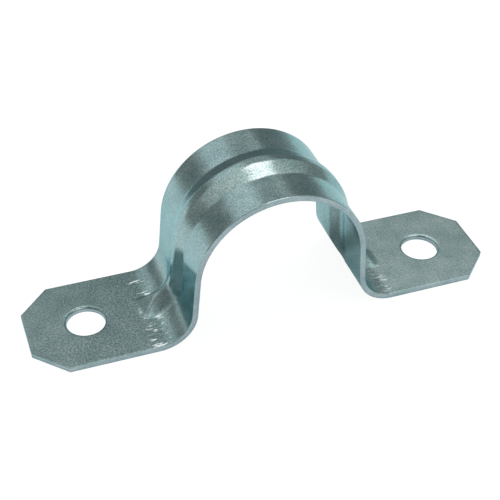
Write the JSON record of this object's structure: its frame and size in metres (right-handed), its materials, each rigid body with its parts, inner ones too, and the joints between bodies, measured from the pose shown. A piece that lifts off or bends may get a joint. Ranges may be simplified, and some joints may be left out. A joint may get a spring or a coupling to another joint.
{
  "type": "conduit strap",
  "caption": "Pressed sheet-steel strap that holds a round conduit to a wall: a ribbed saddle, two leaning legs with gussets at their feet, and two flat ears with screw holes.",
  "frame": {"origin": "under the middle of the saddle, on the plane that both ears rest on", "axes": "+X from ear to ear, +Y along the conduit, +Z away from the wall"},
  "size_m": [0.0694, 0.0168, 0.0233],
  "materials": {
    "zinc_plated_steel": "bright zinc plating on pressed strip: satin, a little cloudy, with fine rolling marks and a cool blue-grey tint"
  },
  "bodies": {
    "root": {"strap": "zinc_plated_steel"}
  },
  "joints": []
}
